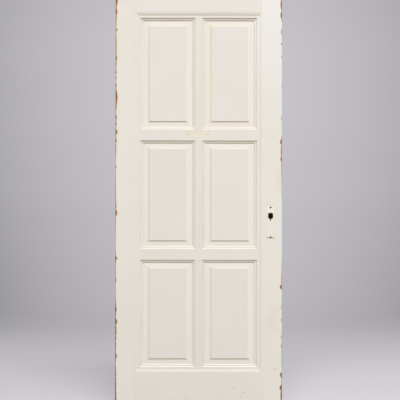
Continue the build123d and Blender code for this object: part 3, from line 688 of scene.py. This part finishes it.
def shape_lock_hole(bm):
    """Cuts the face round the lock hole finely, and slopes the hole's torn lip in to a smaller bore."""
    hole_x, hole_z = lock_hole
    left, right, foot, top = hole_x - 0.020, hole_x + 0.020, hole_z - 0.034, hole_z + 0.026
    for axis, values in ((0, (left, right)), (2, (foot, top))):
        for value in values:
            faces = [f for f in bm.faces if f.normal.y < -0.9 and f.calc_center_median().y < -0.022
                     and abs(f.calc_center_median().x - half_width) > 0.0125]
            cut_at(bm, faces, axis, value)
    patch = []
    for face in bm.faces:
        middle = face.calc_center_median()
        if (face.normal.y < -0.9 and middle.y < -0.022 and abs(middle.x - hole_x) < 0.020
                and abs(middle.z - hole_z + 0.004) < 0.030):
            patch.append(face)
    patch = cut_evenly(bm, patch, 0, left, right, 0.003)
    cut_evenly(bm, patch, 2, foot, top, 0.003)
    # The lip is 2 mm deep. It slopes in most at its top, and the slit below the hole keeps its shape.
    walls = []
    for face in bm.faces:
        middle = face.calc_center_median()
        if (abs(face.normal.y) < 0.5 and -half_leaf < middle.y < -0.0076 and abs(middle.x - hole_x) < 0.0122
                and abs(middle.z - hole_z) < 0.0150):
            walls.append(face)
    cut_at(bm, walls, 1, -half_leaf + 0.002)
    for vert in bm.verts:
        off_x, off_z = vert.co.x - hole_x, vert.co.z - hole_z
        by_the_slit = off_z <= -0.0135 and abs(off_x) <= 0.0034
        if (-half_leaf + 0.001 < vert.co.y < -0.0074 and abs(off_x) < 0.0122 and abs(off_z) < 0.0150
                and not by_the_slit):
            vert.co.x = hole_x + 0.00075 + off_x * 0.85
            vert.co.z = hole_z - 0.00075 + off_z * 0.78


def wear_down(bm, front_edge, back_edge, seed, has_lock):
    """Rounds and chips the long outer edges, and makes the lock hole's rim ragged."""
    reach = bm.verts.layers.float.new("worn_width")
    moves = []
    for vert in bm.verts:
        from_side = half_width - abs(vert.co.x)
        from_face = half_leaf - abs(vert.co.y)
        if from_side < 0.0125 and from_face < 0.0052:
            at_back = vert.co.y > 0
            width = worn_width(vert.co.z * 1000, back_edge if at_back else front_edge, seed + 50 * at_back)
            vert[reach] = width
            away = (from_side + from_face) * 1000 - edge_round_mm
            if away < width:
                # The wear is deepest at the edge itself, at 0.17 of its width
                depth = 0.17 * width * max(0.0, 1 - max(0.0, away) / width) ** 1.3
                inward = -vert.normal
                inward.z = 0
                if inward.length > 0.3:
                    moves.append((vert, inward.normalized() * depth * MM))
        if has_lock and vert.co.y < -half_leaf + 0.0001:
            off = Vector((vert.co.x - lock_hole[0], 0, vert.co.z - lock_hole[1]))
            if off.length < 0.032 and any(face.normal.y > -0.5 for face in vert.link_faces):
                jag = 0.5 + 0.5 * noise.noise(vert.co * 260 + Vector((seed, 0, 0)))
                outward = off.normalized() * (0.9 * jag) + Vector((0, 0.5 * jag, 0))
                moves.append((vert, outward * MM))
    for vert, move in moves:
        vert.co += move


def choose_finishes(bm, has_lock):
    """Sets each face's finish: 0 the worn paint, 1 bare wood and 2 wood painted nearly black as the hole's shade."""
    for face in bm.faces:
        face.smooth = True
        middle = face.calc_center_median()
        if has_lock:
            in_case = (lock_case_x - 0.0005 < middle.x < half_width - 0.0004 and abs(middle.y) < 0.0117
                       and face_plate[0] - 0.0005 < middle.z < face_plate[1] + 0.0005)
            in_hole = (-half_leaf + 0.0006 < middle.y < -0.008 and abs(middle.x - lock_hole[0]) < 0.016
                       and 0.82 < middle.z < 1.0 and abs(face.normal.y) < 0.5)
            if in_hole or in_case and middle.x < half_width - 0.0035:
                face.material_index = 2
            elif in_case:
                face.material_index = 1
        elif (-half_width + 0.0002 < middle.x < -0.36 and abs(middle.y) < 0.0215 and abs(face.normal.y) < 0.999
                and any(abs(middle.z - height) < hinge_half_height for height in hinge_heights)):
            face.material_index = 1


def worn_stile(node_name, side, front_edge, back_edge, seed, finishes):
    """A stile with its long outer edges cut finely, so that they can be rounded and chipped by wear."""
    has_lock = node_name == "lock_stile"
    bm = bmesh.new()
    bm.from_mesh(nodes[node_name].data)
    bmesh.ops.remove_doubles(bm, verts=bm.verts[:], dist=1e-6)
    bmesh.ops.dissolve_limit(bm, angle_limit=math.radians(0.4), verts=bm.verts[:], edges=bm.edges[:])
    cut_edges(bm, side)
    if has_lock:
        shape_lock_hole(bm)
    bm.normal_update()
    wear_down(bm, front_edge, back_edge, seed, has_lock)
    bm.normal_update()
    choose_finishes(bm, has_lock)
    for edge in bm.edges:
        edge.smooth = len(edge.link_faces) == 2 and edge.calc_face_angle() < math.radians(32)
    mesh = bpy.data.meshes.new("worn_" + node_name)
    bm.to_mesh(mesh)
    bm.free()
    piece = bpy.data.objects.new("worn_" + node_name, mesh)
    bpy.context.scene.collection.objects.link(piece)
    # Normals weighted by face size keep the broad faces flat up to their rounded edges
    weigh = piece.modifiers.new("weigh", "WEIGHTED_NORMAL")
    weigh.keep_sharp = True
    depsgraph = bpy.context.evaluated_depsgraph_get()
    finished = bpy.data.meshes.new_from_object(piece.evaluated_get(depsgraph), depsgraph=depsgraph)
    piece.modifiers.clear()
    piece.data = finished
    finished.name = "worn_" + node_name
    for finish in finishes:
        finished.materials.append(finish)
    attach(piece, "root")
    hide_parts(node_name)


bare_wood = bare_finish("bare softwood, dusty", 4.0)
# Painted shade: the walls of the lock hole and the inside of the mortise are made nearly black, as the shade deep in
# the hole
hole_shade_wood = bare_finish("softwood darkened as hole shade", 7.0, over="0F0B08", share=0.93, ridges=0.15, roughness=0.9,
                             **{"Specular IOR Level": 0.2})
worn_stile("hinge_stile", -1, hinge_edge, made_up_edge(7, 2.0, 16), 1.3, (
           stile_finish("oil paint worn to softwood, hinge stile", 0.4,
                        marks=((-376, 405, 3, 2.5, 20, 0.3), (-310, 805, 3, 3, 0, 0.3)), marks_strength=0.5),
           bare_wood, hole_shade_wood))
worn_stile("lock_stile", 1, lock_edge, made_up_edge(8, 1.6, 14), 6.1, (
           stile_finish("oil paint worn to softwood, lock stile", 2.2,
                        marks=((371, 199, 7, 2.2, -12, 0.3), (380, 196, 3, 2, 0, 0.3), (366, 214, 3, 1.6, 20, 0.3)),
                        marks_strength=0.8,
                        stains=((352, 440, 60, 120, -20, 0.0), (392, 480, 20, 80, 0, 0.0),
                                (385, 385, 34, 44, 0, 0.0), (390, 1120, 30, 110, 4, 0.0)),
                        lock_side=True), bare_wood, hole_shade_wood))

rail_finishes = {
    "top_rail": rail_finish("brushed oil paint, top rail", 1.7, joints=True),
    "upper_cross_rail": rail_finish("brushed oil paint, upper cross rail", 5.2, plate=True, marks=(
        (-55.1, 1339.5, 3.4, 3.4, 0, 0.2), (43.9, 1339.5, 3.4, 3.4, 0, 0.2))),
    "lower_cross_rail": rail_finish("brushed oil paint, lower cross rail", 8.3),
    "bottom_rail": rail_finish("brushed oil paint, bottom rail", 9.6, joints=True, tone="E8E2DA", marks=(
        (173, 103, 4.5, 3, 30, 0.2), (222, 84, 5, 3, 10, 0.2), (210, 66, 3, 2.5, 0, 0.2), (-139, 55, 4, 2.5, 25, 0.2),
        (-57, 52, 4, 2, -30, 0.2), (145, 40, 3, 2, 0, 0.2), (190, 46, 3, 2, 0, 0.2)))}
muntin_finish = rail_finish("brushed oil paint, muntins", 3.1, along="Z", tone="E6E0D7", shade="E3DDD2")
end_grain = bare_finish("softwood end grain", 12.0)
for count, (name, node) in enumerate(nodes.items()):
    if name.startswith("panel"):
        row, hand = name.split("_")[1:]
        middle_z, half_height = field_rows[row]
        field = (field_x if hand == "right" else -field_x, middle_z, field_half_width, half_height)
        finish = panel_finish("brushed oil paint, " + name.replace("_", " "), 11.0 + 1.7 * count, field,
                              yellow_ring=name == "panel_top_right")
    elif name.startswith("wedges"):
        finish = end_grain
    else:
        finish = rail_finishes.get(name, muntin_finish)
    for i in range(len(node.material_slots)):
        node.material_slots[i].material = finish
